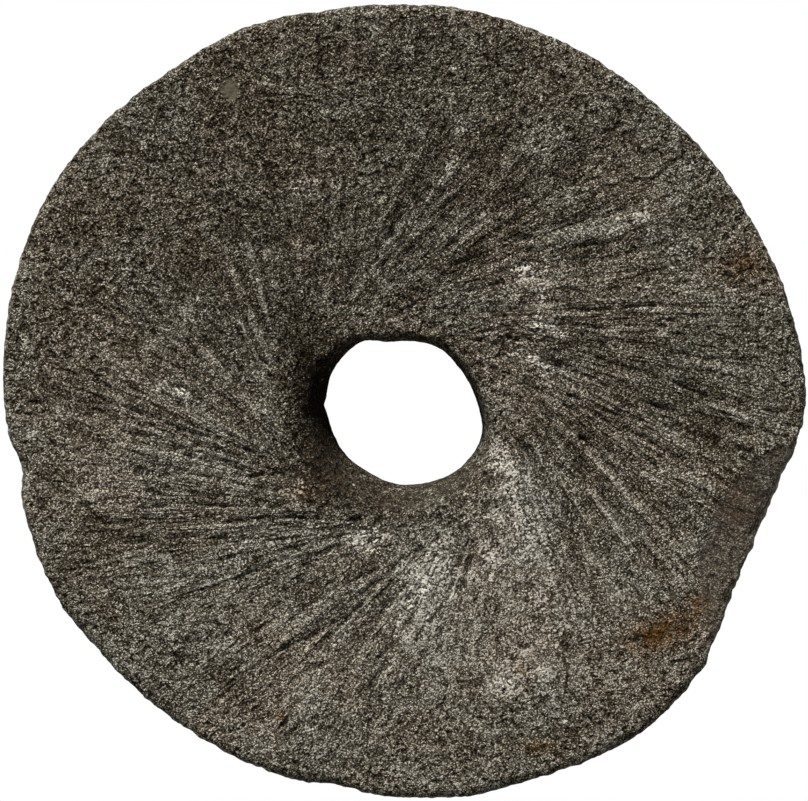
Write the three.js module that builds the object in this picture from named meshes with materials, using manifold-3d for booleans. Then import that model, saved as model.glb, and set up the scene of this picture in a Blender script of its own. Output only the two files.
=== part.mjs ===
// Rotary quern stone, lying on its plain back with its dressed grinding face up.
// It is one solid: a thick ring of coarse stone with a flared eye, a dished face cut with
// swirling furrows, and one broken edge. Millimetres, +Z up, origin under its middle.

import * as THREE from "three";
import { mergeVertices } from "three/addons/utils/BufferGeometryUtils.js";
import Module from "manifold-3d";

const { clamp, degToRad, euclideanModulo, lerp, radToDeg } = THREE.MathUtils;

// Driving dimensions of the ring
const RIM_RADIUS = 199;
const RIM_HEIGHT = 64;
const RIM_ROUNDING = 5;
const BACK_ROUNDING = 8;
const DISH_DEPTH = 12;
const EYE_RADIUS = 36.6;
const EYE_CENTRE = new THREE.Vector2(-1.25, -6.9);
const MOUTH_FLARE = 4;
const MOUTH_SHIFT = new THREE.Vector2(-2.25, -6.1);
const LIP_ROUNDING = 6;
const EYE_HEIGHT = RIM_HEIGHT - DISH_DEPTH;
const THROAT_HEIGHT = 30;

// How finely the round stretches are divided
const RING_SEGMENTS = 80;
const FACE_RINGS = 3;
const ROUNDING_STEPS = 3;

// Where the outlines leave a true circle: middle and spread in degrees, rise in millimetres
const RIM_LOBES = [
  { at: 0, spread: 8, rise: 2 },
  { at: 45, spread: 22, rise: -5 },
  { at: 113, spread: 6, rise: 2.8 },
  { at: 150, spread: 20, rise: 8 },
  { at: 190, spread: 2.5, rise: -4.5 },
  { at: 210, spread: 5, rise: 2 },
  { at: 238, spread: 14, rise: -1 },
  { at: 260, spread: 3, rise: -3 },
  { at: 280, spread: 5, rise: 2 },
  { at: 304, spread: 9, rise: 5 },
];
const EYE_LOBES = [
  { at: 56, spread: 8, rise: 1.2 },
  { at: 70, spread: 8, rise: 1.3 },
  { at: 100, spread: 6, rise: -1.2 },
  { at: 119, spread: 8, rise: 1.8 },
  { at: 142, spread: 28, rise: 5.8 },
  { at: 174, spread: 3, rise: 1.2 },
  { at: 240, spread: 14, rise: -1.6 },
  { at: 334, spread: 25, rise: 4.8 },
  { at: 345, spread: 8, rise: 1 },
];

// The broken edge: a straight break down the side, and the flake that came off above it
const BREAK_HEADING = 338;
const BREAK_DISTANCE = 189;
const BREAK_BLOCK = 150;
const FLAKE_DISTANCE = 218;
const FLAKE_REACH = 70;
const FLAKE_HALF_LENGTH = 85;
const FLAKE_DEPTH = 24;
const FLAKE_LIFT = 15;
const FLAKE_SEGMENTS = 24;

// Furrows are laid tangent to a ring round the eye, in sheaves: headings in degrees,
// the distance by which they pass the eye's centre, and where along them they start and end.
// A deeper furrow is a wider one too
const FURROW_LEAST_HALF_WIDTH = 1;
const FURROW_FLARE = 0.6;
const FURROW_SHEAVES = [
  { headings: [-14, 10], passes: [40, 46], start: 22, end: 110, strokes: 4, depth: 0.9 },
  { headings: [14, 34], passes: [52, 58], start: 42, end: 140, strokes: 4, depth: 1.0 },
  { headings: [38, 56], passes: [66, 56], start: 28, end: 125, strokes: 4, depth: 0.9 },
  { headings: [62, 98], passes: [56, 50], start: 38, end: 90, strokes: 4, depth: 0.7 },
  { headings: [102, 128], passes: [62, 62], start: 28, end: 90, strokes: 4, depth: 0.8 },
  { headings: [132, 156], passes: [62, 55], start: 28, end: 110, strokes: 4, depth: 0.8 },
  { headings: [160, 190], passes: [45, 58], start: 32, end: 150, strokes: 6, depth: 0.9 },
  { headings: [196, 216], passes: [58, 62], start: 36, end: 120, strokes: 4, depth: 0.8 },
  { headings: [219, 250], passes: [60, 52], start: 42, end: 130, strokes: 5, depth: 0.9 },
  { headings: [254, 274], passes: [48, 44], start: 46, end: 110, strokes: 4, depth: 0.8 },
  { headings: [278, 300], passes: [52, 62], start: 38, end: 115, strokes: 4, depth: 1.4 },
  { headings: [304, 322], passes: [56, 62], start: 38, end: 140, strokes: 4, depth: 1.7 },
  { headings: [326, 344], passes: [46, 60], start: 38, end: 150, strokes: 4, depth: 1.7 },
];
const HEADING_SCATTER = 4;
const PASS_SCATTER = 10;
const START_SCATTER = 14;
const END_SCATTER = 36;
const SCATTER_STEP = 0.618034;

// The furrows that stand out on the face, each from its inner end to its outer end
const LONE_FURROWS = [
  { from: [-8, 40], to: [19, 58], depth: 1.8 },
  { from: [20, 66], to: [52, 80], depth: 2.2 },
  { from: [52, 80], to: [118, 97], depth: 1.6 },
  { from: [-20, 60], to: [48, 124], depth: 1.4 },
  { from: [40, 96], to: [80, 106], depth: 1.2 },
  { from: [56, 74], to: [122, 82], depth: 1.5 },
  { from: [60, 60], to: [122, 66], depth: 1.1 },
  { from: [70, 46], to: [150, 48], depth: 1.4 },
  { from: [60, 41], to: [140, 30], depth: 1.2 },
  { from: [80, 34], to: [165, 20], depth: 1.3 },
  { from: [25, 33], to: [62, 24], depth: 1.6 },
  { from: [62, 22], to: [108, 4], depth: 2.6 },
  { from: [75, 4], to: [130, -14], depth: 2.2 },
  { from: [60, 2], to: [86, -16], depth: 2.2 },
  { from: [84, -14], to: [120, -47], depth: 3.0 },
  { from: [118, -20], to: [143, -41], depth: 2.8 },
  { from: [100, -8], to: [152, -38], depth: 2.0 },
  { from: [56, -18], to: [75, -47], depth: 3.0 },
  { from: [72, -48], to: [80, -82], depth: 2.4 },
  { from: [78, -44], to: [102, -84], depth: 2.4 },
  { from: [82, -24], to: [101, -56], depth: 2.2 },
  { from: [60, -70], to: [62, -118], depth: 1.0 },
  { from: [70, -84], to: [72, -122], depth: 1.0 },
  { from: [-60, -37], to: [-124, -38], depth: 1.8 },
  { from: [-16, -59], to: [-154, -61], depth: 1.7 },
  { from: [-70, -53], to: [-150, -53], depth: 1.4 },
  { from: [-88, -68], to: [-160, -72], depth: 1.2 },
  { from: [-72, -28], to: [-166, 6], depth: 1.7 },
  { from: [-84, -22], to: [-138, -24], depth: 1.4 },
  { from: [-82, 2], to: [-103, 30], depth: 1.5 },
  { from: [-73, 20], to: [-82, 64], depth: 1.5 },
  { from: [-24, -70], to: [-112, -97], depth: 1.4 },
  { from: [-10, -82], to: [-72, -116], depth: 1.4 },
  { from: [12, -72], to: [-60, -124], depth: 1.5 },
  { from: [0, -90], to: [-96, -146], depth: 1.6 },
  { from: [26, -92], to: [-30, -146], depth: 1.1 },
];

const wasm = await Module();
wasm.setup();

// A closed three.js geometry as a solid that can be cut
function solidFrom(geometry) {
  const bare = geometry.clone();
  bare.deleteAttribute("normal");
  bare.deleteAttribute("uv");
  const merged = mergeVertices(bare);
  const triVerts = Uint32Array.from(merged.index.array);
  const vertProperties = Float32Array.from(merged.attributes.position.array);
  return new wasm.Manifold(new wasm.Mesh({ numProp: 3, vertProperties, triVerts }));
}

// A cut solid back as a three.js geometry, stood with its middle over the origin
function centredGeometry(solid) {
  const mesh = solid.getMesh();
  const geometry = new THREE.BufferGeometry();
  geometry.setAttribute("position", new THREE.BufferAttribute(mesh.vertProperties, 3));
  geometry.setIndex(new THREE.BufferAttribute(mesh.triVerts, 1));
  geometry.computeBoundingBox();
  const middle = geometry.boundingBox.getCenter(new THREE.Vector3());
  geometry.translate(-middle.x, -middle.y, 0);
  geometry.computeVertexNormals();
  return geometry;
}

// A radius that swells and shrinks with the angle, in radians, by a list of lobes
function lobedRadius(base, lobes, angle) {
  let radius = base;
  for (const lobe of lobes) {
    const turn = euclideanModulo(radToDeg(angle) - lobe.at + 180, 360) - 180;
    radius += lobe.rise * Math.exp(-0.5 * (turn / lobe.spread) ** 2);
  }
  return radius;
}

const rimRadius = (angle) => lobedRadius(RIM_RADIUS, RIM_LOBES, angle);
const eyeRadius = (angle) => lobedRadius(EYE_RADIUS, EYE_LOBES, angle);

// The bore of the eye is straight, its mouth opens to one side, and the rim is centred on the origin
function ringCentre(across, height) {
  const lean = clamp((height - THROAT_HEIGHT) / (EYE_HEIGHT - THROAT_HEIGHT), 0, 1);
  return EYE_CENTRE.clone().addScaledVector(MOUTH_SHIFT, lean).multiplyScalar(1 - across);
}

// Section of a true ring: the back, the rim, the dished face and the flared eye
const LIP_RADIUS = EYE_RADIUS + MOUTH_FLARE + LIP_ROUNDING;
const ARRIS_RADIUS = RIM_RADIUS - RIM_ROUNDING;

function ringSection() {
  const section = new THREE.Path();
  section.moveTo(EYE_RADIUS + BACK_ROUNDING, 0);
  section.lineTo(RIM_RADIUS - BACK_ROUNDING, 0);
  section.quadraticCurveTo(RIM_RADIUS, 0, RIM_RADIUS, BACK_ROUNDING);
  section.lineTo(RIM_RADIUS, RIM_HEIGHT - RIM_ROUNDING);
  section.quadraticCurveTo(RIM_RADIUS, RIM_HEIGHT, ARRIS_RADIUS, RIM_HEIGHT);
  for (let ring = 1; ring <= FACE_RINGS; ring += 1) {
    const inward = ring / FACE_RINGS;
    section.lineTo(lerp(ARRIS_RADIUS, LIP_RADIUS, inward), lerp(RIM_HEIGHT, EYE_HEIGHT, inward));
  }
  section.quadraticCurveTo(EYE_RADIUS + MOUTH_FLARE, EYE_HEIGHT, EYE_RADIUS, THROAT_HEIGHT);
  section.lineTo(EYE_RADIUS, BACK_ROUNDING);
  section.quadraticCurveTo(EYE_RADIUS, 0, EYE_RADIUS + BACK_ROUNDING, 0);
  return section.getPoints(ROUNDING_STEPS);
}

// The turned ring, then every point moved out to the stone's own outlines
function ringGeometry() {
  const geometry = new THREE.LatheGeometry(ringSection(), RING_SEGMENTS);
  geometry.rotateX(Math.PI / 2);
  const position = geometry.attributes.position;
  const point = new THREE.Vector3();
  for (let i = 0; i < position.count; i += 1) {
    point.fromBufferAttribute(position, i);
    const angle = Math.atan2(point.y, point.x);
    const across = (Math.hypot(point.x, point.y) - EYE_RADIUS) / (RIM_RADIUS - EYE_RADIUS);
    const radius = lerp(eyeRadius(angle), rimRadius(angle), across);
    const centre = ringCentre(across, point.z);
    position.setX(i, centre.x + radius * Math.cos(angle));
    position.setY(i, centre.y + radius * Math.sin(angle));
  }
  return geometry;
}

// Height of the dished face over a point, by searching for how far across the ring it lies
function faceHeight(x, y) {
  const searchSteps = 6;
  let across = 0.5;
  for (let step = 0; step < searchSteps; step += 1) {
    const centre = ringCentre(across, EYE_HEIGHT);
    const angle = Math.atan2(y - centre.y, x - centre.x);
    const reach = Math.hypot(x - centre.x, y - centre.y);
    across = (reach - eyeRadius(angle)) / (rimRadius(angle) - eyeRadius(angle));
  }
  const trueRadius = lerp(EYE_RADIUS, RIM_RADIUS, across);
  const up = clamp((trueRadius - LIP_RADIUS) / (ARRIS_RADIUS - LIP_RADIUS), 0, 1);
  return lerp(EYE_HEIGHT, RIM_HEIGHT, up);
}

// Even scatter between -0.5 and 0.5, a new value at each call
let draws = 0;
function scatter() {
  draws += 1;
  return euclideanModulo(draws * SCATTER_STEP, 1) - 0.5;
}

// The strokes of one sheaf, each as the two ends of a furrow
function sheafFurrows(sheaf) {
  const furrows = [];
  for (let stroke = 0; stroke < sheaf.strokes; stroke += 1) {
    const share = (stroke + 0.5) / sheaf.strokes;
    const heading = degToRad(lerp(...sheaf.headings, share) + HEADING_SCATTER * scatter());
    const pass = lerp(...sheaf.passes, share) + PASS_SCATTER * scatter();
    const start = sheaf.start + START_SCATTER * scatter();
    const end = sheaf.end + END_SCATTER * scatter();
    const along = new THREE.Vector2(Math.cos(heading), Math.sin(heading));
    const foot = new THREE.Vector2(-along.y, along.x).multiplyScalar(pass).add(EYE_CENTRE);
    const from = foot.clone().addScaledVector(along, start).toArray();
    const to = foot.clone().addScaledVector(along, end).toArray();
    furrows.push({ from, to, depth: sheaf.depth });
  }
  return furrows;
}

// One furrow: a long diamond with both its tips on the face, that leaves a groove with tapered ends.
// The dished face sags below the line between the tips, so the diamond is taller by that sag
function furrowCutter({ from, to, depth }) {
  const inner = new THREE.Vector3(...from, faceHeight(...from));
  const outer = new THREE.Vector3(...to, faceHeight(...to));
  const run = outer.clone().sub(inner);
  const middle = inner.clone().lerp(outer, 0.5);
  const sag = Math.max(0, middle.z - faceHeight(middle.x, middle.y));
  const taller = (depth + sag) / depth;
  const halfWidth = FURROW_LEAST_HALF_WIDTH + FURROW_FLARE * depth;
  const geometry = new THREE.OctahedronGeometry(1);
  geometry.scale(run.length() / 2, halfWidth * taller, depth * taller);
  geometry.rotateY(-Math.asin(run.z / run.length()));
  geometry.rotateZ(Math.atan2(run.y, run.x));
  geometry.translate(middle.x, middle.y, middle.z);
  return solidFrom(geometry);
}

// The straight break down the side
function breakCutter() {
  const geometry = new THREE.BoxGeometry(BREAK_BLOCK, 2 * RIM_RADIUS, 2 * BREAK_BLOCK);
  geometry.translate(BREAK_DISTANCE + BREAK_BLOCK / 2, 0, 0);
  geometry.rotateZ(degToRad(BREAK_HEADING));
  return solidFrom(geometry);
}

// The slope that a flake left above the break: the underside of a flat ellipsoid that hangs over it
function flakeCutter() {
  const geometry = new THREE.SphereGeometry(1, FLAKE_SEGMENTS, FLAKE_SEGMENTS);
  geometry.scale(FLAKE_REACH, FLAKE_HALF_LENGTH, FLAKE_DEPTH);
  geometry.translate(FLAKE_DISTANCE, 0, RIM_HEIGHT + FLAKE_LIFT);
  geometry.rotateZ(degToRad(BREAK_HEADING));
  return solidFrom(geometry);
}

// The stone, cut furrow by furrow and then broken
function quernGeometry() {
  const furrows = [...FURROW_SHEAVES.flatMap(sheafFurrows), ...LONE_FURROWS];
  let stone = solidFrom(ringGeometry());
  for (const furrow of furrows) {
    stone = stone.subtract(furrowCutter(furrow));
  }
  stone = stone.subtract(breakCutter()).subtract(flakeCutter());
  return centredGeometry(stone);
}

const stoneMaterial = new THREE.MeshStandardMaterial({ color: 0x554f44, roughness: 0.95, metalness: 0 });
const quernStone = new THREE.Mesh(quernGeometry(), stoneMaterial);
quernStone.name = "quern_stone";

const quern = new THREE.Group();
quern.add(quernStone);

export default quern;
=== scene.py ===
# %% [markdown]
# # One stone of a rotary quern
# A rotary quern ground grain between two round stones. This is one of them: a thick ring of coarse
# dark stone, lying on its plain back with the dressed grinding face up. The measured model gives its
# size and place. This script carves and colours the surface that the eye sees, inside that size.

# %% Load the measured model
import math

import bpy
import numpy as np
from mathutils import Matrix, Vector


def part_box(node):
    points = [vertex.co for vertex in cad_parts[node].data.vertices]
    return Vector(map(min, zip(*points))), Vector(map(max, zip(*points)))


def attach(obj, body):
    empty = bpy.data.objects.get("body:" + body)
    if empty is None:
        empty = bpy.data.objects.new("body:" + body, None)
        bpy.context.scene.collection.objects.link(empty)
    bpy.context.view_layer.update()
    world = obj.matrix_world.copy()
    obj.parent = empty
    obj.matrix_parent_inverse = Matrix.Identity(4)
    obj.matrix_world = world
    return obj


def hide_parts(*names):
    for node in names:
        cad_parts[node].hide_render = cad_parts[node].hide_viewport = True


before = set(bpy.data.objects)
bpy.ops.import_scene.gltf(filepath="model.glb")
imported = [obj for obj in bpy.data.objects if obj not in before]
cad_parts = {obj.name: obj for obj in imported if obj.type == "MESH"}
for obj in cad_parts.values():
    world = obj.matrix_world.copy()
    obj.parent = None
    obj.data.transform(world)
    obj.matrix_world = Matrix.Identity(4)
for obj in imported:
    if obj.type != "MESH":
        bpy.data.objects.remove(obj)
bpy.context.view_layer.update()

STONE_NODE = "quern_stone"
MM = 0.001
low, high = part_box(STONE_NODE)
print("measured stone, mm:", [round(side / MM, 1) for side in high - low])

# %% [markdown]
# ## Sizes
# Lengths in the tables below are millimetres, as a mason would give them, and `MM` turns them into
# Blender's metres. The height and the width come from the measured model. The true circle of the rim
# is a little smaller than the measured width, because the stone bulges at its two sides.

# %% Sizes of the ring
RIM_HEIGHT = high.z / MM
SIDE_BULGE = 2.15
RIM_RADIUS = (high.x - low.x) / 2 / MM - SIDE_BULGE
RIM_ROUNDING = 5
BACK_ROUNDING = 8
DISH_DEPTH = 12
EYE_RADIUS = 36.6
EYE_CENTRE = np.array([-1.25, -6.9])
MOUTH_FLARE = 4
MOUTH_SHIFT = np.array([-2.25, -6.1])
LIP_ROUNDING = 6
THROAT_HEIGHT = 30
EYE_HEIGHT = RIM_HEIGHT - DISH_DEPTH
LIP_RADIUS = EYE_RADIUS + MOUTH_FLARE + LIP_ROUNDING
ARRIS_RADIUS = RIM_RADIUS - RIM_ROUNDING
print("rim radius", round(RIM_RADIUS, 1), "and height", round(RIM_HEIGHT, 1), "mm")

# %% [markdown]
# ## Turning the ring
# A lathe or a potter's wheel would make a ring by sweeping one section round an axis, and Blender's
# spin does the same. The section is a closed loop of points: along the back, up the rim, in over the
# dished face and down through the eye. The face gets the closest points, because the furrows and the
# coarse grain are carved into it afterwards. A spin of many steps is slow, so a coarse ring is spun and
# every face of it is then subdivided.

# %% Section of the ring
FACE_SPACING = 3
SIDE_SPACING = 6
BACK_SPACING = 14
CORNER_SPACING = 3.6


def straight(start, end, spacing):
    """Points along a straight stretch, leaving out its end."""
    count = max(1, round(math.dist(start, end) / spacing))
    share = np.arange(count)[:, None] / count
    return np.array(start) * (1 - share) + np.array(end) * share


def rounded(start, corner, end, spacing):
    """Points round a corner, leaving out its end."""
    count = max(2, round(math.dist(start, end) / spacing))
    share = np.arange(count)[:, None] / count
    first = np.array(start) * (1 - share) + np.array(corner) * share
    second = np.array(corner) * (1 - share) + np.array(end) * share
    return first * (1 - share) + second * share


back_inner = (EYE_RADIUS + BACK_ROUNDING, 0)
back_outer = (RIM_RADIUS - BACK_ROUNDING, 0)
side_low = (RIM_RADIUS, BACK_ROUNDING)
side_high = (RIM_RADIUS, RIM_HEIGHT - RIM_ROUNDING)
arris = (ARRIS_RADIUS, RIM_HEIGHT)
lip = (LIP_RADIUS, EYE_HEIGHT)
throat = (EYE_RADIUS, THROAT_HEIGHT)
eye_foot = (EYE_RADIUS, BACK_ROUNDING)
section = np.vstack([
    straight(back_inner, back_outer, BACK_SPACING),
    rounded(back_outer, (RIM_RADIUS, 0), side_low, CORNER_SPACING),
    straight(side_low, side_high, SIDE_SPACING),
    rounded(side_high, (RIM_RADIUS, RIM_HEIGHT), arris, CORNER_SPACING),
    straight(arris, lip, FACE_SPACING),
    rounded(lip, (EYE_RADIUS + MOUTH_FLARE, EYE_HEIGHT), throat, CORNER_SPACING),
    straight(throat, eye_foot, SIDE_SPACING),
    rounded(eye_foot, (EYE_RADIUS, 0), back_inner, CORNER_SPACING),
])
print("section points:", len(section))

# %% Spin the section into a ring
SPIN_STEPS = 320
FINER_CUTS = 3
WELD = 0.02 * MM


def take(piece):
    """Make one piece the only selected and active object."""
    bpy.ops.object.select_all(action="DESELECT")
    piece.select_set(True)
    bpy.context.view_layer.objects.active = piece


bpy.ops.object.select_all(action="DESELECT")
bpy.ops.mesh.primitive_circle_add(vertices=len(section), radius=RIM_RADIUS * MM, fill_type="NOTHING")
stone = bpy.context.object
stone.name = "carved_quern_stone"
loop = np.zeros((len(section), 3))
loop[:, 0] = section[:, 0] * MM
loop[:, 2] = section[:, 1] * MM
stone.data.vertices.foreach_set("co", loop.ravel())
bpy.ops.object.mode_set(mode="EDIT")
bpy.ops.mesh.select_all(action="SELECT")
bpy.ops.mesh.spin(steps=SPIN_STEPS, angle=math.tau, center=(0, 0, 0), axis=(0, 0, 1))
bpy.ops.mesh.select_all(action="SELECT")
bpy.ops.mesh.remove_doubles(threshold=WELD)
bpy.ops.mesh.normals_make_consistent(inside=False)
bpy.ops.mesh.subdivide(number_cuts=FINER_CUTS)
bpy.ops.object.mode_set(mode="OBJECT")
print("turned ring:", len(stone.data.vertices), "points")

# %% [markdown]
# ## The stone's own outlines
# No quern is a true circle. The rim is flattened at one side and fuller at another, nicks are knocked
# out of it, and a large piece is broken away, which leaves a straight edge. The eye is an oval, and its
# mouth opens towards one side.
# Each bulge or nick is a lobe: an angle, a spread in degrees, and a rise in millimetres. Moving every
# point of the ring out to these outlines keeps the mesh whole, where cutting would leave it ragged.

# %% Rim, eye and break
RIM_LOBES = np.array([
    (0, 8, 2),
    (45, 22, -5),
    (113, 6, 2.8),
    (150, 20, 8),
    (190, 2.5, -4.5),
    (210, 5, 2),
    (238, 14, -1),
    (260, 3, -3),
    (280, 5, 2),
    (304, 9, 5),
])
EYE_LOBES = np.array([
    (56, 8, 1.2),
    (70, 8, 1.3),
    (100, 6, -1.2),
    (119, 8, 1.8),
    (142, 28, 5.8),
    (174, 3, 1.2),
    (240, 14, -1.6),
    (334, 25, 4.8),
    (345, 8, 1.0),
])
BREAK_HEADING = math.radians(338)
BREAK_DISTANCE = 189
BREAK_SOFTNESS = 1.2
WIDEST_BREAK_ANGLE = math.radians(60)


def lobed_radius(base, lobes, angle):
    """Radius at each angle: a circle, raised or lowered by each lobe."""
    turn = (np.degrees(angle)[:, None] - lobes[:, 0] + 180) % 360 - 180
    return base + (lobes[:, 2] * np.exp(-0.5 * (turn / lobes[:, 1]) ** 2)).sum(axis=1)


def rim_radius(angle):
    """Lobed rim, cut short by the straight break with a slightly softened corner."""
    whole = lobed_radius(RIM_RADIUS, RIM_LOBES, angle)
    away = np.clip(np.abs((angle - BREAK_HEADING + math.pi) % math.tau - math.pi), 0, WIDEST_BREAK_ANGLE)
    broken = BREAK_DISTANCE / np.cos(away)
    return -BREAK_SOFTNESS * np.logaddexp(-whole / BREAK_SOFTNESS, -broken / BREAK_SOFTNESS)


def eye_radius(angle):
    return lobed_radius(EYE_RADIUS, EYE_LOBES, angle)


def read_points(piece):
    """A piece's points, in millimetres."""
    flat = np.empty(len(piece.data.vertices) * 3)
    piece.data.vertices.foreach_get("co", flat)
    return flat.reshape(-1, 3) / MM


def write_points(piece, points):
    piece.data.vertices.foreach_set("co", (points * MM).ravel())
    piece.data.update()


turned = read_points(stone)
angle = np.arctan2(turned[:, 1], turned[:, 0])
turned_radius = np.hypot(turned[:, 0], turned[:, 1])
across = (turned_radius - EYE_RADIUS) / (RIM_RADIUS - EYE_RADIUS)
reach = eye_radius(angle) + across * (rim_radius(angle) - eye_radius(angle))
lean = np.clip((turned[:, 2:] - THROAT_HEIGHT) / (EYE_HEIGHT - THROAT_HEIGHT), 0, 1)
centre = (EYE_CENTRE + MOUTH_SHIFT * lean) * (1 - across)[:, None]
shaped = turned.copy()
shaped[:, 0] = centre[:, 0] + reach * np.cos(angle)
shaped[:, 1] = centre[:, 1] + reach * np.sin(angle)
middle = (shaped[:, :2].min(axis=0) + shaped[:, :2].max(axis=0)) / 2
shaped[:, :2] -= middle
print("outline, mm:", np.ptp(shaped, axis=0).round(1))

# %% [markdown]
# ## Furrows
# The grinding face was dressed with a pick: shallow strokes that all pass the eye on the same side,
# like the blades of a fan, so that the turning stone carried the meal outwards. They are listed in
# sheaves, as they were struck. A groove could be cut with a boolean for each, but it would have hard,
# equal sides. Pushing the points of the face down by their distance from each stroke gives tapered
# ends, a wandering line and a depth that comes and goes.

# %% Where the furrows run
SHEAVES = [
    # headings in degrees, passing distance from the eye's centre, start, end, strokes, depth
    ((-14, 10), (40, 46), 22, 110, 4, 0.9),
    ((14, 34), (52, 58), 42, 140, 4, 1.0),
    ((38, 56), (66, 56), 28, 125, 4, 0.9),
    ((62, 98), (56, 50), 38, 90, 4, 0.7),
    ((102, 128), (62, 62), 28, 90, 4, 0.8),
    ((132, 156), (62, 55), 28, 110, 4, 0.8),
    ((160, 190), (45, 58), 32, 150, 6, 0.9),
    ((196, 216), (58, 62), 36, 120, 4, 0.8),
    ((219, 250), (60, 52), 42, 130, 5, 0.9),
    ((254, 274), (48, 44), 46, 110, 4, 0.8),
    ((278, 300), (52, 62), 38, 115, 4, 1.4),
    ((304, 322), (56, 62), 38, 140, 4, 1.7),
    ((326, 344), (46, 60), 38, 150, 4, 1.7),
]
HEADING_SCATTER = 4
PASS_SCATTER = 10
START_SCATTER = 14
END_SCATTER = 36
SCATTER_STEP = 0.618034
FURROW_LEAST_HALF_WIDTH = 1
FURROW_FLARE = 0.6

LONE_FURROWS = [
    # inner end, outer end, depth
    ((-8, 40), (19, 58), 1.8),
    ((20, 66), (52, 80), 2.2),
    ((52, 80), (118, 97), 1.6),
    ((-20, 60), (48, 124), 1.4),
    ((40, 96), (80, 106), 1.2),
    ((56, 74), (122, 82), 1.5),
    ((60, 60), (122, 66), 1.1),
    ((70, 46), (150, 48), 1.4),
    ((60, 41), (140, 30), 1.2),
    ((80, 34), (165, 20), 1.3),
    ((25, 33), (62, 24), 1.6),
    ((62, 22), (108, 4), 2.6),
    ((75, 4), (130, -14), 2.2),
    ((60, 2), (86, -16), 2.2),
    ((84, -14), (120, -47), 3.0),
    ((118, -20), (143, -41), 2.8),
    ((100, -8), (152, -38), 2.0),
    ((56, -18), (75, -47), 3.0),
    ((72, -48), (80, -82), 2.4),
    ((78, -44), (102, -84), 2.4),
    ((82, -24), (101, -56), 2.2),
    ((60, -70), (62, -118), 1.0),
    ((70, -84), (72, -122), 1.0),
    ((-60, -37), (-124, -38), 1.8),
    ((-16, -59), (-154, -61), 1.7),
    ((-70, -53), (-150, -53), 1.4),
    ((-88, -68), (-160, -72), 1.2),
    ((-72, -28), (-166, 6), 1.7),
    ((-84, -22), (-138, -24), 1.4),
    ((-82, 2), (-103, 30), 1.5),
    ((-73, 20), (-82, 64), 1.5),
    ((-24, -70), (-112, -97), 1.4),
    ((-10, -82), (-72, -116), 1.4),
    ((12, -72), (-60, -124), 1.5),
    ((0, -90), (-96, -146), 1.6),
    ((26, -92), (-30, -146), 1.1),
]

draws = 0


def scatter():
    """Even scatter between -0.5 and 0.5, a new value at each call."""
    global draws
    draws += 1
    return draws * SCATTER_STEP % 1 - 0.5


def tangent_stroke(heading, passing, start, end):
    """Ends of a stroke that passes the eye's centre at a distance, heading outwards."""
    along = np.array([math.cos(heading), math.sin(heading)])
    foot = EYE_CENTRE + passing * np.array([-along[1], along[0]])
    return foot + along * start, foot + along * end


def furrow_half_width(depth):
    """Half the width of a furrow: a deeper stroke is a wider one."""
    return FURROW_LEAST_HALF_WIDTH + FURROW_FLARE * depth


furrows = []
for headings, passes, start, end, stroke_count, depth in SHEAVES:
    for stroke in range(stroke_count):
        share = (stroke + 0.5) / stroke_count
        heading = headings[0] + share * (headings[1] - headings[0]) + HEADING_SCATTER * scatter()
        passing = passes[0] + share * (passes[1] - passes[0]) + PASS_SCATTER * scatter()
        begins = start + START_SCATTER * scatter()
        stops = end + END_SCATTER * scatter()
        inner, outer = tangent_stroke(math.radians(heading), passing, begins, stops)
        furrows.append((inner, outer, depth, furrow_half_width(depth)))
for inner, outer, depth in LONE_FURROWS:
    furrows.append((np.array(inner), np.array(outer), depth, furrow_half_width(depth)))
print("furrows:", len(furrows))

# %% Finer strokes between the furrows
HAIRLINES = 110
HAIRLINE_PASS = 52
HAIRLINE_PASS_SCATTER = 34
HAIRLINE_START = 62
HAIRLINE_START_SCATTER = 70
HAIRLINE_LENGTH = 44
HAIRLINE_LENGTH_SCATTER = 40
HAIRLINE_DEPTH = 0.55
HAIRLINE_HALF_WIDTH = 1.5

for stroke in range(HAIRLINES):
    heading = math.tau * stroke / HAIRLINES
    passing = HAIRLINE_PASS + HAIRLINE_PASS_SCATTER * scatter()
    begins = HAIRLINE_START + HAIRLINE_START_SCATTER * scatter()
    stops = begins + HAIRLINE_LENGTH + HAIRLINE_LENGTH_SCATTER * scatter()
    inner, outer = tangent_stroke(heading, passing, begins, stops)
    furrows.append((inner, outer, HAIRLINE_DEPTH, HAIRLINE_HALF_WIDTH))
print("furrows with finer strokes:", len(furrows))

# %% Depth of the furrows under each point
ENTRY_TAPER = 7
EXIT_TAPER = 24
WANDER = 0.8
WANDER_LENGTH = 11
BITE_LENGTH = 5
BITE_SHARE = 0.25
GROOVE_SHARPNESS = 1.2


def along_stroke(x, y, inner, outer):
    """Length of a stroke, and each point's place along it and beside it."""
    run = math.dist(inner, outer)
    ahead = (outer - inner) / run
    along = (x - inner[0]) * ahead[0] + (y - inner[1]) * ahead[1]
    beside = (y - inner[1]) * ahead[0] - (x - inner[0]) * ahead[1]
    return run, along, beside


def furrow_depth(x, y):
    """Depth of the deepest furrow at each point of the face."""
    deepest = np.zeros_like(x)
    for number, (inner, outer, depth, half_width) in enumerate(furrows):
        run, along, beside = along_stroke(x, y, inner, outer)
        near = (along > 0) & (along < run) & (np.abs(beside) < half_width + WANDER)
        along = along[near]
        beside = beside[near] + WANDER * np.sin(along / WANDER_LENGTH + number)
        taper = np.minimum(1, np.minimum(along / ENTRY_TAPER, (run - along) / EXIT_TAPER))
        bite = 1 - BITE_SHARE + BITE_SHARE * np.sin(along / BITE_LENGTH + 2 * number)
        groove = np.clip(1 - np.abs(beside) / half_width, 0, 1) ** GROOVE_SHARPNESS
        deepest[near] = np.maximum(deepest[near], depth * taper * bite * groove)
    return deepest


furrowed = furrow_depth(shaped[:, 0], shaped[:, 1])
print("deepest furrow, mm:", furrowed.max().round(2))

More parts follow.
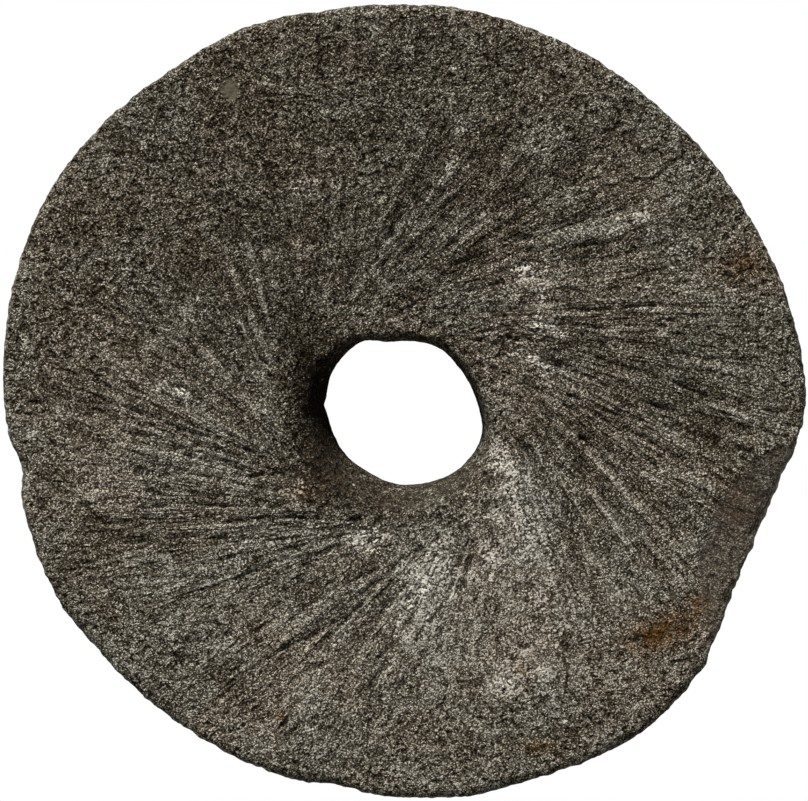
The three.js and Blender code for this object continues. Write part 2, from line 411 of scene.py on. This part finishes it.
# %% [markdown]
# ## The flake above the break
# When the edge broke, a flake came off the face with it and left a shallow slope, like a bite out of
# a biscuit. It is the underside of a wide, flat ellipsoid that hangs over the broken edge. The points of
# the side below it come down in proportion, so that no faces pile up along the broken edge.

# %% Lower the face
FLAKE_DISTANCE = 218
FLAKE_REACH = 70
FLAKE_HALF_LENGTH = 85
FLAKE_DEPTH = 24
FLAKE_LIFT = 15


def towards_break(x, y):
    """Distance of each point from the middle, measured towards the break."""
    return x * math.cos(BREAK_HEADING) + y * math.sin(BREAK_HEADING)


def flake_depth(x, y):
    """Depth of the slope that the flake left, at each point of the face."""
    outward = towards_break(x, y) - FLAKE_DISTANCE
    sideways = y * math.cos(BREAK_HEADING) - x * math.sin(BREAK_HEADING)
    inside = 1 - (outward / FLAKE_REACH) ** 2 - (sideways / FLAKE_HALF_LENGTH) ** 2
    return np.clip(FLAKE_DEPTH * np.sqrt(np.clip(inside, 0, None)) - FLAKE_LIFT, 0, None)


face_share = np.clip((turned_radius - LIP_RADIUS) / (ARRIS_RADIUS - LIP_RADIUS), 0, 1)
plain_top = EYE_HEIGHT + DISH_DEPTH * face_share
carved_top = plain_top - np.maximum(furrowed, flake_depth(shaped[:, 0], shaped[:, 1]))
shaped[:, 2] *= carved_top / plain_top
write_points(stone, shaped)
print("deepest point of the flake, mm:", flake_depth(shaped[:, 0], shaped[:, 1]).max().round(1))

# %% [markdown]
# ## Weathering
# Coarse stone is lumpy at every scale: slow swells left by the mason, pits from the pick, and grains
# that stand out as the softer stone between them wears. Displace modifiers with cloud textures give one
# layer for each size. Vertex groups hold where a layer acts: chips are knocked out of the rim's edges,
# and the slope of the flake and the eye stay smoother.

# %% Where the surface is rough, and where it chips
WEIGHT_LEVELS = 10
SMOOTH_SHARE = 0.35
ARRIS_BAND = 7
FLAKE_FULL = 1.2


def flake_share(x, y):
    """How far each point lies on the flake's slope, from 0 on the dressed face to 1."""
    return np.clip(flake_depth(x, y) / FLAKE_FULL, 0, 1)


def weigh(piece, name, weights):
    """Vertex group with its weights in even levels."""
    group = piece.vertex_groups.new(name=name)
    levels = np.round(np.clip(weights, 0, 1) * WEIGHT_LEVELS).astype(int)
    for level in range(1, WEIGHT_LEVELS + 1):
        group.add(np.flatnonzero(levels == level).tolist(), level / WEIGHT_LEVELS, "REPLACE")


on_flake = flake_share(shaped[:, 0], shaped[:, 1])
in_eye = np.clip((LIP_RADIUS - turned_radius) / LIP_ROUNDING, 0, 1)
weigh(stone, "rough", 1 - (1 - SMOOTH_SHARE) * np.maximum(on_flake, in_eye))
to_top_arris = np.hypot(turned_radius - RIM_RADIUS, turned[:, 2] - RIM_HEIGHT)
to_back_arris = np.hypot(turned_radius - RIM_RADIUS, turned[:, 2])
to_arris = np.minimum(to_top_arris, to_back_arris)
weigh(stone, "arris", np.exp(-(to_arris / ARRIS_BAND) ** 2))
to_break = BREAK_DISTANCE - towards_break(shaped[:, 0], shaped[:, 1])
weigh(stone, "broken", np.exp(-(to_break / ARRIS_BAND) ** 2))
print("arris points:", int((to_arris < ARRIS_BAND).sum()))

# %% Wear the surface down, layer by layer
WEAR_LAYERS = [
    # name, size, depth, octaves, basis, level that stays in place, vertex group
    ("swells", 46, 1.6, 1, "IMPROVED_PERLIN", 0.5, ""),
    ("hollows", 14, 1.8, 2, "IMPROVED_PERLIN", 0.55, "rough"),
    ("pick pits", 5.5, 1.8, 1, "VORONOI_F1", 0.5, "rough"),
    ("grains", 2.6, 0.35, 1, "IMPROVED_PERLIN", 0.5, "rough"),
    ("chips", 15, 4.0, 2, "IMPROVED_PERLIN", 0.55, "arris"),
    ("broken lumps", 13, 6.0, 2, "IMPROVED_PERLIN", 0.55, "broken"),
]


def wear(piece, name, size, depth, octaves, basis, level, group):
    """One layer of wear, applied to the mesh."""
    texture = bpy.data.textures.new(name, "CLOUDS")
    texture.noise_scale = size * MM
    texture.noise_depth = octaves
    texture.noise_basis = basis
    layer = piece.modifiers.new(name, "DISPLACE")
    layer.texture = texture
    layer.texture_coords = "LOCAL"
    layer.direction = "NORMAL"
    layer.mid_level = level
    layer.strength = depth * MM
    layer.vertex_group = group
    bpy.ops.object.modifier_apply(modifier=name)


take(stone)
for layer in WEAR_LAYERS:
    wear(stone, *layer)
print("worn layers:", len(WEAR_LAYERS))

# %% [markdown]
# ## Thinning the mesh
# The fine ring holds close to a million triangles, most of them where nothing happens. Decimate takes
# them away where the surface is flat and keeps them on furrows, pits and chips, which is how a scanned
# stone is thinned too. The points are then kept inside the measured box, so the back lies flat.

# %% Thin, and keep inside the measured box
MOST_TRIANGLES = 196000

stone.vertex_groups.clear()
stone.data.calc_loop_triangles()
thin = stone.modifiers.new("thin", "DECIMATE")
thin.ratio = MOST_TRIANGLES / len(stone.data.loop_triangles)
bpy.ops.object.modifier_apply(modifier=thin.name)
points = np.clip(read_points(stone), np.array(low) / MM, np.array(high) / MM)
write_points(stone, points)
bpy.ops.object.shade_smooth()
stone.data.calc_loop_triangles()
print("stone:", len(stone.data.loop_triangles), "triangles")

# %% [markdown]
# ## Stains, deposits, painted light and shade
# Old stone carries its history as colour: pale lime and dust below the eye and in the furrows, rust
# where iron lay on it, brown earth on the slope above the break, and one smooth pebble set in the face.
# Lime, rust, the pebble and the lighter or darker parts are ovals with a soft edge, kept as attributes
# on the points. Of the lighter or darker parts, one dark oval is painted shade on the eye's left wall
# and one thin light band is painted light on the steep side along the broken edge; the broad ones make
# the face lighter below and left of the eye and darker at the top. The slope of the flake, the worn lip
# of the eye, the furrows, darkened by their depth as painted shade, and the dressed parts are kept in
# the same way. The material breaks them up with noise later.

# %% Where the stains, painted shade and painted light lie
PALE_PATCHES = [
    # middle, long half, short half, turn in degrees, strength
    ((8, -100), 26, 12, 62, 0.55),
    ((-22, -70), 9, 5, 15, 1.0),
    ((10, -86), 14, 7, 55, 0.5),
    ((50, -32), 12, 5, -50, 1.0),
    ((40, -84), 8, 4, 65, 0.7),
    ((60, -62), 12, 8, -60, 0.6),
    ((66, -95), 34, 12, -75, 0.45),
    ((50, -140), 10, 6, 30, 1.0),
    ((70, -137), 3, 2, 80, 1.0),
    ((62, 66), 8, 3, 10, 1.0),
    ((68, 55), 4, 4, 0, 1.0),
    ((72, 37), 9, 3, -8, 1.1),
    ((66, 20), 9, 3, -20, 1.1),
    ((22, 115), 6, 2, 65, 0.9),
    ((28, 136), 5, 3, 55, 0.8),
    ((68, 125), 3, 2, 0, 0.9),
    ((120, 92), 4, 2, -30, 1.0),
    ((106, 86), 6, 2.5, 15, 0.9),
    ((135, 75), 8, 6, 20, 0.5),
    ((144, 118), 4, 1.5, 0, 0.9),
    ((-110, 4), 4, 2, -45, 1.0),
    ((-122, 7), 3, 2, 0, 0.7),
    ((-54, -44), 5, 3, 70, 0.7),
    ((-50, 106), 8, 4, -15, 0.5),
    ((-100, -30), 9, 4, -15, 0.5),
]
RUST_PATCHES = [
    ((128, -116), 11, 5, 20, 1.0),
    ((148, -102), 5, 4, 40, 0.6),
    ((170, 68), 6, 5, 0, 0.5),
    ((66, -173), 6, 3, 0, 0.5),
    ((58, -135), 2.5, 2.5, 0, 0.4),
    ((-62, -157), 1.5, 1.5, 0, 0.8),
    ((-52, -45), 7, 4, 10, 0.35),
    ((165, -52), 9, 6, -60, 0.4),
]
# tone ovals: broad ones lighter below and left of the eye, darker at the top; small ones darken spots
TONE_AND_PAINTED_LIGHT_PATCHES = [
    ((10, -115), 100, 45, 10, 0.5),
    ((75, -65), 50, 38, -50, 0.25),
    ((-90, 95), 80, 55, 40, -0.35),
    ((20, 145), 80, 35, -10, -0.25),
    # painted shade: darkens the eye's left wall, which the raking light doesn't reach
    ((-43, -2), 11, 28, 10, -2.5),
    ((-120, -25), 55, 45, 0, 0.3),
    # painted light: lightens the steep side along the broken edge, which faces away from the light
    ((177, -71.5), 50, 3.5, 68, 1.6),
    ((-5, 51), 5, 4, 0, -0.7),
    ((61, -123), 2.2, 0.8, 15, -3.0),
    ((-91, 172), 5, 3, 30, -1.5),
]
PEBBLES = [
    ((-87, 155.5), 2.8, 2.2, -70, 3.0),
]
print("stains listed:", len(PALE_PATCHES) + len(RUST_PATCHES) + len(TONE_AND_PAINTED_LIGHT_PATCHES))

# %% Paint the stains, painted shade and painted light on the points
FURROW_FULL_SHADE = 2.0
DRESSED_BESIDE = 9
DRESSED_BEYOND = 14
DRESSED_FULL_DEPTH = 1.4
DRESSED_FROM = 52
DRESSED_FULL = 90
LIP_WORN = EYE_RADIUS + MOUTH_FLARE
LIP_FADE = 14
LIP_WORN_SIDE = 30
LIP_LEAST = 0.3
FLAKE_FADE = 4
FACE_FOOT = EYE_HEIGHT - 12
FACE_FULL = EYE_HEIGHT - 4


def patched(x, y, patches):
    """Strength of a list of soft ovals at each point."""
    strength = np.zeros_like(x)
    for (middle_x, middle_y), long_half, short_half, turn, most in patches:
        across_x = math.cos(math.radians(turn))
        across_y = math.sin(math.radians(turn))
        along = (x - middle_x) * across_x + (y - middle_y) * across_y
        beside = (y - middle_y) * across_x - (x - middle_x) * across_y
        strength += most * np.exp(-0.5 * ((along / long_half) ** 2 + (beside / short_half) ** 2))
    return strength


def dressed_share(x, y):
    """How thoroughly the pick dressed the face, at each point, from the furrows near it."""
    dressed = np.zeros_like(x)
    for inner, outer, depth, _ in furrows[:-HAIRLINES]:
        run, along, beside = along_stroke(x, y, inner, outer)
        beyond = np.maximum(0, np.maximum(-along, along - run))
        near = np.exp(-0.5 * ((beside / DRESSED_BESIDE) ** 2 + (beyond / DRESSED_BEYOND) ** 2))
        dressed = np.maximum(dressed, near * depth / DRESSED_FULL_DEPTH)
    outward = np.hypot(x - EYE_CENTRE[0], y - EYE_CENTRE[1])
    clear_of_eye = np.clip((outward - DRESSED_FROM) / (DRESSED_FULL - DRESSED_FROM), 0, 1)
    return np.clip(dressed, 0, 1) * clear_of_eye


def paint(piece, name, values):
    """A value on every point of a piece, for its material to read."""
    layer = piece.data.attributes.new(name, "FLOAT", "POINT")
    layer.data.foreach_set("value", values.astype(np.float32))


x = points[:, 0]
y = points[:, 1]
on_face = np.clip((points[:, 2] - FACE_FOOT) / (FACE_FULL - FACE_FOOT), 0, 1)
from_mouth = np.hypot(x - EYE_CENTRE[0] - MOUTH_SHIFT[0], y - EYE_CENTRE[1] - MOUTH_SHIFT[1])
worn_lip = np.clip((LIP_WORN + LIP_FADE - from_mouth) / LIP_FADE, 0, 1)
worn_lip *= np.clip((EYE_CENTRE[1] - y) / LIP_WORN_SIDE, LIP_LEAST, 1)
low_fade = np.clip(points[:, 2] / FACE_FOOT, 0, 1) ** FLAKE_FADE
paint(stone, "pale", on_face * np.clip(patched(x, y, PALE_PATCHES), 0, 1))
paint(stone, "rust", on_face * np.clip(patched(x, y, RUST_PATCHES), 0, 1))
# broad tone, painted shade on the eye's left wall and painted light along the broken edge
paint(stone, "tone_and_painted_light", patched(x, y, TONE_AND_PAINTED_LIGHT_PATCHES))
paint(stone, "worn", worn_lip)
paint(stone, "flaked", flake_share(x, y) * low_fade)
paint(stone, "pebble", on_face * np.clip(patched(x, y, PEBBLES), 0, 1))
# furrows: darker by their depth, painted shade in the grooves
paint(stone, "furrow", on_face * np.clip(furrow_depth(x, y) / FURROW_FULL_SHADE, 0, 1))
paint(stone, "dressed", on_face * dressed_share(x, y))
print("stains:", [layer.name for layer in stone.data.attributes if layer.data_type == "FLOAT"])

# %% [markdown]
# ## The coarse stone
# Close up, the stone is a packing of grains about half a millimetre across, from nearly black to cream,
# with dark pits that the pick drew out along its strokes. Noise and Voronoi cells add up to one tone for
# each spot, and a colour ramp turns the tone into the colour of a grain. The floors of the pits, the
# fine lines of the strokes and the furrows are made darker in the tone as painted shade. Larger white
# specks crowd together where lime was left. Most stains shift the tone and cover only a part of the
# colour, so the grains stay crisp under them. All of it reads Object coordinates and the painted
# attributes, so it also holds on the sides and the back.

# %% Small helpers for building a material
MIX_FACTOR = 0
MIX_FIRST_COLOUR = 6
MIX_SECOND_COLOUR = 7
MIX_COLOUR_RESULT = 2


def feed(tree, socket, value):
    """Link a socket to another one, or set its value."""
    if isinstance(value, bpy.types.NodeSocket):
        tree.links.new(value, socket)
    else:
        socket.default_value = value


def add_node(tree, kind, inputs=None, **settings):
    """A node with its settings, and its inputs linked or set."""
    node = tree.nodes.new(kind)
    for name, value in settings.items():
        setattr(node, name, value)
    for name, value in (inputs or {}).items():
        feed(tree, node.inputs[name], value)
    return node


def mix_colour(tree, factor, first, second, blend="MIX"):
    node = tree.nodes.new("ShaderNodeMix")
    node.data_type = "RGBA"
    node.blend_type = blend
    feed(tree, node.inputs[MIX_FACTOR], factor)
    feed(tree, node.inputs[MIX_FIRST_COLOUR], first)
    feed(tree, node.inputs[MIX_SECOND_COLOUR], second)
    return node.outputs[MIX_COLOUR_RESULT]


def calculate(tree, operation, *values):
    node = tree.nodes.new("ShaderNodeMath")
    node.operation = operation
    for socket, value in zip(node.inputs, values):
        feed(tree, socket, value)
    return node.outputs[0]


def weighted_sum(tree, start, terms):
    """A start value plus each value times its weight."""
    total = start
    for value, weight in terms:
        total = calculate(tree, "MULTIPLY_ADD", value, weight, total)
    return total


def spread(tree, value, start, end):
    """Stretch a value so that start becomes 0 and end becomes 1, and cut off the rest."""
    inputs = {"Value": value, "From Min": start, "From Max": end}
    return add_node(tree, "ShaderNodeMapRange", inputs, clamp=True).outputs["Result"]


def ramp(tree, value, stops):
    """A colour ramp from a list of places and colours."""
    node = add_node(tree, "ShaderNodeValToRGB", {"Fac": value})
    elements = node.color_ramp.elements
    while len(elements) < len(stops):
        elements.new(0.5)
    for element, (place, colour) in zip(elements, stops):
        element.position = place
        element.color = (*colour, 1)
    return node.outputs["Color"]


def noise(tree, coordinates, size, detail):
    """Noise whose lumps are about size millimetres across."""
    inputs = {"Vector": coordinates, "Scale": 1 / (size * MM), "Detail": detail}
    return add_node(tree, "ShaderNodeTexNoise", inputs).outputs["Fac"]


def vector_math(tree, operation, *values):
    node = tree.nodes.new("ShaderNodeVectorMath")
    node.operation = operation
    for socket, value in zip(node.inputs, values):
        feed(tree, socket, value)
    return node.outputs["Vector"]


def attribute(tree, name):
    return add_node(tree, "ShaderNodeAttribute", attribute_name=name).outputs["Fac"]


stone_material = bpy.data.materials.new("coarse stone")
stone_material.use_nodes = True
tree = stone_material.node_tree
tree.nodes.clear()
output = add_node(tree, "ShaderNodeOutputMaterial")
coordinates = add_node(tree, "ShaderNodeTexCoord").outputs["Object"]
print("material:", stone_material.name)

# %% Strokes and pits of the pick
STROKE_PASS = 50
STROKES_PER_RADIAN = 20
STROKE_LENGTH = 60
LINE_WIDTH = 0.055
PIT_SIZE = 3.2
PIT_LENGTH = 9
PIT_SAMPLES = 5
PIT_LEAST = 1.15
PIT_GAIN = 0.8
NOISE_MIDDLE = 0.5

outward = vector_math(tree, "SUBTRACT", coordinates, (*EYE_CENTRE * MM, 0))
outward = vector_math(tree, "MULTIPLY", outward, (1, 1, 0))
away = add_node(tree, "ShaderNodeVectorMath", {0: outward}, operation="LENGTH").outputs["Value"]
pass_share = calculate(tree, "MINIMUM", calculate(tree, "DIVIDE", STROKE_PASS * MM, away), 1.0)
slant = calculate(tree, "ARCSINE", pass_share)
ahead = add_node(tree, "ShaderNodeVectorRotate", {
    "Vector": vector_math(tree, "NORMALIZE", outward),
    "Angle": calculate(tree, "MULTIPLY", slant, -1.0),
}, rotation_type="Z_AXIS").outputs["Vector"]
dressed = attribute(tree, "dressed")

stroke_place = vector_math(tree, "MULTIPLY", ahead, (STROKES_PER_RADIAN,) * 3)
stroke_height = calculate(tree, "DIVIDE", away, STROKE_LENGTH * MM)
stroke_rise = add_node(tree, "ShaderNodeCombineXYZ", {"Z": stroke_height})
stroke_place = vector_math(tree, "ADD", stroke_place, stroke_rise.outputs["Vector"])
strokes = add_node(
    tree, "ShaderNodeTexNoise", {"Vector": stroke_place, "Scale": 1.0, "Detail": 2.0}
).outputs["Fac"]
strokes = calculate(tree, "SUBTRACT", strokes, NOISE_MIDDLE)
stroke_relief = calculate(tree, "MULTIPLY", strokes, dressed)
# fine lines along the strokes: a groove in the bump, and painted shade in the tone
lines = spread(tree, calculate(tree, "ABSOLUTE", strokes), LINE_WIDTH, 0.0)
lines = calculate(tree, "MULTIPLY", lines, dressed)

pits = -NOISE_MIDDLE
for sample in range(PIT_SAMPLES):
    ahead_by = (sample / (PIT_SAMPLES - 1) - 0.5) * PIT_LENGTH * MM
    shift = calculate(tree, "MULTIPLY", dressed, ahead_by)
    pit_place = vector_math(tree, "MULTIPLY_ADD", ahead, shift, coordinates)
    pit_noise = noise(tree, pit_place, PIT_SIZE, detail=1)
    pits = calculate(tree, "MULTIPLY_ADD", pit_noise, 1 / PIT_SAMPLES, pits)
pit_strength = calculate(tree, "MULTIPLY_ADD", dressed, PIT_GAIN, PIT_LEAST)
pits = calculate(tree, "MULTIPLY", pits, pit_strength)
# pit floors: a dent in the bump, and painted shade in the tone
pit_floors = calculate(tree, "MINIMUM", pits, 0.0)
print("strokes pass the eye at", STROKE_PASS, "mm")

# %% Tone of the grains
GRAIN_SIZE = 0.58
FINE_SIZE = 1.25
SPECK_SIZE = 0.95
MEDIUM_SIZE = 7
MOTTLE_SIZE = 20
GRAIN_SKEW = 1.6
MIDDLE_TONE = -0.40
FLAKE_EDGE = (0.7, 1.2)
SPECKS_ON_PALE = 0.55
SPECK_EDGE = (1.54, 1.66)
GRAIN_TONES = [
    (0.0, (0.008, 0.0055, 0.0027)),
    (0.2, (0.027, 0.0206, 0.0116)),
    (0.4, (0.075, 0.061, 0.041)),
    (0.6, (0.155, 0.134, 0.097)),
    (0.8, (0.31, 0.284, 0.232)),
    (1.0, (0.62, 0.582, 0.505)),
]


def packing(tree, coordinates, size):
    """Cells about size millimetres across: distance from a cell's middle, and a value for each cell."""
    inputs = {"Vector": coordinates, "Scale": 1 / (size * MM)}
    cells = add_node(tree, "ShaderNodeTexVoronoi", inputs)
    parts = add_node(tree, "ShaderNodeSeparateColor", {"Color": cells.outputs["Color"]})
    return cells.outputs["Distance"], parts.outputs["Red"]


grain_distance, grain_random = packing(tree, coordinates, GRAIN_SIZE)
grain_tone = calculate(tree, "POWER", grain_random, GRAIN_SKEW)
fine = noise(tree, coordinates, FINE_SIZE, detail=3)
medium = noise(tree, coordinates, MEDIUM_SIZE, detail=3)
mottle = noise(tree, coordinates, MOTTLE_SIZE, detail=2)
worn = attribute(tree, "worn")
flaked = weighted_sum(tree, attribute(tree, "flaked"), [(medium, 1.0)])
flaked = spread(tree, flaked, *FLAKE_EDGE)
pebble = attribute(tree, "pebble")
pale = attribute(tree, "pale")
_, speck_random = packing(tree, coordinates, SPECK_SIZE)
speck_density = weighted_sum(tree, speck_random, [(pale, SPECKS_ON_PALE), (medium, 1.0)])
specks = spread(tree, speck_density, *SPECK_EDGE)
rust = attribute(tree, "rust")
tone = weighted_sum(tree, MIDDLE_TONE, [
    # what shifts the tone, and by how much
    (grain_tone, 0.88),
    (fine, 0.5),
    (medium, 0.22),
    (mottle, 0.35),
    (pits, 0.4),
    # pit floors darker still: painted shade in the pits
    (pit_floors, 0.5),
    (stroke_relief, 0.9),
    # fine stroke lines darker: painted shade in their grooves
    (lines, -0.07),
    # painted shade on the eye's wall, painted light along the broken edge, and broad tone
    (attribute(tree, "tone_and_painted_light"), 0.22),
    (specks, 0.8),
    (rust, -0.15),
    # furrows darker by their depth: painted shade in the grooves
    (attribute(tree, "furrow"), -0.08),
    (worn, -0.26),
])
grain_colour = ramp(tree, tone, GRAIN_TONES)
print("grain size, mm:", GRAIN_SIZE)

# %% Broad colour and stains
BROWN_TINT = (1.04, 0.985, 0.945, 1)
GREY_TINT = (0.97, 0.997, 0.99, 1)
RUST_TINT = (1.05, 0.64, 0.30, 1)
RUST_COLOUR = (0.085, 0.040, 0.010, 1)
WORN_COLOUR = (0.070, 0.057, 0.042, 1)
FLAKE_COLOUR = (0.092, 0.072, 0.053, 1)
PEBBLE_COLOUR = (0.125, 0.112, 0.076, 1)
DUST_COLOUR = (0.230, 0.222, 0.208, 1)
LIME_COLOUR = (0.80, 0.75, 0.64, 1)
TINT_SIZE = 40
TINT_EDGE = (0.38, 0.62)
RUST_EDGE = (0.3, 0.55)
LIME_FALL = 2.0
RUST_COVER = 0.6
WORN_COVER = 0.25
FLAKE_COVER = 0.5
PEBBLE_COVER = 0.75
DUST_COVER = 0.07


def stain(tree, colour, mask, cover, stain_colour):
    """Cover a share of a colour with a stain's own colour, where the mask says."""
    return mix_colour(tree, calculate(tree, "MULTIPLY", mask, cover), colour, stain_colour)


broad = spread(tree, noise(tree, coordinates, TINT_SIZE, detail=5), *TINT_EDGE)
tint = mix_colour(tree, broad, BROWN_TINT, GREY_TINT)
colour = mix_colour(tree, 1.0, grain_colour, tint, "MULTIPLY")
lime_mask = calculate(tree, "MULTIPLY", specks, calculate(tree, "POWER", pale, LIME_FALL))
colour = mix_colour(tree, lime_mask, colour, LIME_COLOUR)
rust_mask = calculate(tree, "MULTIPLY", rust, spread(tree, medium, *RUST_EDGE))
colour = mix_colour(tree, rust_mask, colour, RUST_TINT, "MULTIPLY")
colour = stain(tree, colour, rust_mask, RUST_COVER, RUST_COLOUR)
colour = stain(tree, colour, worn, WORN_COVER, WORN_COLOUR)
colour = stain(tree, colour, flaked, FLAKE_COVER, FLAKE_COLOUR)
colour = stain(tree, colour, pebble, PEBBLE_COVER, PEBBLE_COLOUR)
colour = stain(tree, colour, pale, DUST_COVER, DUST_COLOUR)
print("stain colours mixed")

# %% Bump and shader
DOME_EDGE = 0.7
DOME_RELIEF = 0.7
FINE_RELIEF = 1.8
PIT_RELIEF = 8.0
STROKE_RELIEF = 5.5
LINE_DEPTH = 0.9
WORN_SMOOTHNESS = 0.35
FLAKE_SMOOTHNESS = 0.4
PEBBLE_SMOOTHNESS = 0.9
STONE_ROUGHNESS = 0.92
STONE_SPECULAR = 0.05

domes = spread(tree, grain_distance, DOME_EDGE, 0.0)
grain_height = calculate(tree, "MULTIPLY", domes, DOME_RELIEF)
grain_height = weighted_sum(tree, grain_height, [(fine, FINE_RELIEF), (pit_floors, PIT_RELIEF)])
roughness_left = weighted_sum(tree, 1.0, [
    (worn, -WORN_SMOOTHNESS),
    (flaked, -FLAKE_SMOOTHNESS),
    (pebble, -PEBBLE_SMOOTHNESS),
])
grain_height = calculate(tree, "MULTIPLY", grain_height, roughness_left)
height = weighted_sum(tree, grain_height, [(stroke_relief, STROKE_RELIEF), (lines, -LINE_DEPTH)])
bump = add_node(tree, "ShaderNodeBump", {"Height": height, "Distance": MM, "Strength": 1.0})
shader = add_node(tree, "ShaderNodeBsdfPrincipled", {
    "Base Color": colour,
    "Roughness": STONE_ROUGHNESS,
    "Specular IOR Level": STONE_SPECULAR,
    "Normal": bump.outputs["Normal"],
})
tree.links.new(shader.outputs["BSDF"], output.inputs["Surface"])
stone.data.materials.clear()
stone.data.materials.append(stone_material)
print("nodes in the stone:", len(tree.nodes))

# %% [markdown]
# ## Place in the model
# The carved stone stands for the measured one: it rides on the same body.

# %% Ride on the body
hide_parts(STONE_NODE)
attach(stone, "root")
print("stone rides on root")

# %% [markdown]
# ## Floor, light and camera
# The stone lies a hair above a white floor, so that the two flat faces don't mix. To the camera the
# floor is plain white, and to the light it is paper that throws some of it back. One soft light stands
# low at the far side, so that it rakes over the face and every furrow and grain throws a small shadow. A
# weak sky fills the shadows. The camera looks straight down, as a camera on a copy stand does, and takes
# in the stone's full width. Lengths in this part are metres.

# %% Floor
FLOOR_SIZE = 8
FLOOR_GAP = 0.2 * MM
FLOOR_WHITE = (0.92, 0.92, 0.91, 1)

bpy.ops.object.select_all(action="DESELECT")
bpy.ops.mesh.primitive_plane_add(size=FLOOR_SIZE, location=(0, 0, -FLOOR_GAP))
floor = bpy.context.object
floor.name = "floor"
floor_material = bpy.data.materials.new("white floor")
floor_material.use_nodes = True
floor_tree = floor_material.node_tree
floor_tree.nodes.clear()
paper = add_node(floor_tree, "ShaderNodeBsdfDiffuse", {"Color": FLOOR_WHITE})
glow = add_node(floor_tree, "ShaderNodeEmission", {"Color": (1, 1, 1, 1), "Strength": 1.0})
seen = add_node(floor_tree, "ShaderNodeLightPath").outputs["Is Camera Ray"]
surface = add_node(floor_tree, "ShaderNodeMixShader", {"Fac": seen})
floor_tree.links.new(paper.outputs["BSDF"], surface.inputs[1])
floor_tree.links.new(glow.outputs["Emission"], surface.inputs[2])
add_node(floor_tree, "ShaderNodeOutputMaterial", {"Surface": surface.outputs["Shader"]})
floor.data.materials.append(floor_material)
print("floor:", FLOOR_SIZE, "m")

# %% Light
KEY_DISTANCE = 4
KEY_BEARING = math.radians(108)
KEY_HEIGHT = math.radians(28)
KEY_SIZE = 0.9
KEY_POWER = 279
SKY_LIGHT = 0.2
KEY_PLACE = KEY_DISTANCE * np.array([
    math.cos(KEY_HEIGHT) * math.cos(KEY_BEARING),
    math.cos(KEY_HEIGHT) * math.sin(KEY_BEARING),
    math.sin(KEY_HEIGHT),
])

key_data = bpy.data.lights.new("raking light", "AREA")
key_data.shape = "DISK"
key_data.size = KEY_SIZE
key_data.energy = KEY_POWER
key = bpy.data.objects.new("raking light", key_data)
bpy.context.scene.collection.objects.link(key)
key.location = KEY_PLACE
key.rotation_euler = (-key.location).to_track_quat("-Z", "Y").to_euler()
world = bpy.data.worlds.new("soft sky")
world.use_nodes = True
background = world.node_tree.nodes["Background"]
background.inputs["Strength"].default_value = SKY_LIGHT
background.inputs["Color"].default_value = (1, 1, 1, 1)
bpy.context.scene.world = world
bpy.context.scene.view_settings.view_transform = "Standard"
print("light at", KEY_PLACE.round(2))

# %% Camera
IMAGE_WIDTH = 808
STONE_WIDTH_IN_IMAGE = 805
CAMERA_HEIGHT = 2.2
VIEW_CENTRE = (-0.25 * MM, 0.25 * MM)

camera_data = bpy.data.cameras.new("camera")
camera = bpy.data.objects.new("camera", camera_data)
bpy.context.scene.collection.objects.link(camera)
camera.location = (*VIEW_CENTRE, CAMERA_HEIGHT)
view_width = (high.x - low.x) * IMAGE_WIDTH / STONE_WIDTH_IN_IMAGE
to_rim = CAMERA_HEIGHT - high.z
camera_data.sensor_fit = "HORIZONTAL"
camera_data.lens = camera_data.sensor_width * to_rim / view_width
bpy.context.scene.camera = camera
print("lens, mm:", round(camera_data.lens, 1))
